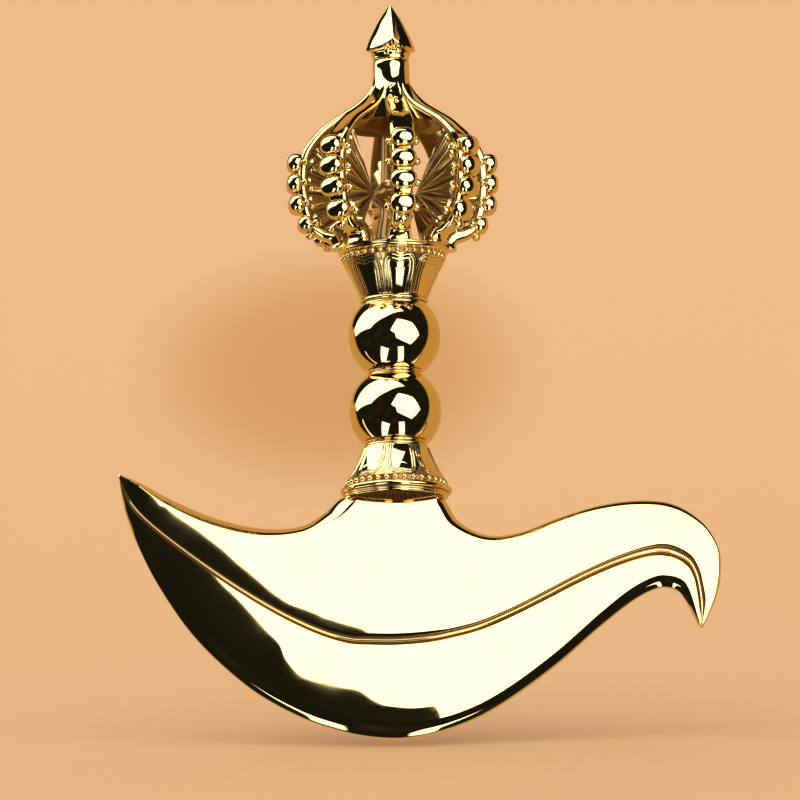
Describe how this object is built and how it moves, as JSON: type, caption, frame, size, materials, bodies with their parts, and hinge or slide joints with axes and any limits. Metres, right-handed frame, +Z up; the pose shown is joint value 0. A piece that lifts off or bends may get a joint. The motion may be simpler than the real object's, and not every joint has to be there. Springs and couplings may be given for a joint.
{
  "type": "ritual chopper",
  "caption": "Crescent-bladed ritual chopper with a hooked end, turned ball grip, lotus collars and a closed pronged crown with a spear point.",
  "frame": {"origin": "middle of the blade's shoulder, where the flange sits on it, on the handle axis", "axes": "+Z up the handle axis from the blade to the spear point; +X towards the hooked end of the blade; the blade's front cheek faces -Y"},
  "size_m": [0.1382, 0.0494, 0.1711],
  "materials": {
    "blade_brass": "mirror-polished yellow brass, with fine polishing lines along the edge",
    "handle_brass": "mirror-polished yellow brass, darker in the recesses",
    "crown_brass": "polished cast brass with darker recesses",
    "rod_steel": "plain zinc-plated steel rod"
  },
  "bodies": {
    "root": {"blade": "blade_brass", "tie_rod": "rod_steel", "shoulder_flange": "handle_brass", "lower_bead_ring": "handle_brass", "lower_lotus": "handle_brass", "lower_ring": "handle_brass", "lower_ball": "handle_brass", "middle_ring": "handle_brass", "upper_ball": "handle_brass", "upper_ring": "handle_brass", "upper_lotus": "handle_brass", "upper_bead_ring": "handle_brass", "crown_plate": "crown_brass", "prong_1": "crown_brass", "prong_2": "crown_brass", "prong_3": "crown_brass", "prong_4": "crown_brass", "prong_5": "crown_brass", "prong_6": "crown_brass", "prong_7": "crown_brass", "prong_8": "crown_brass", "centre_prong": "crown_brass", "neck_cap": "crown_brass", "spear_point": "crown_brass"}
  },
  "joints": []
}
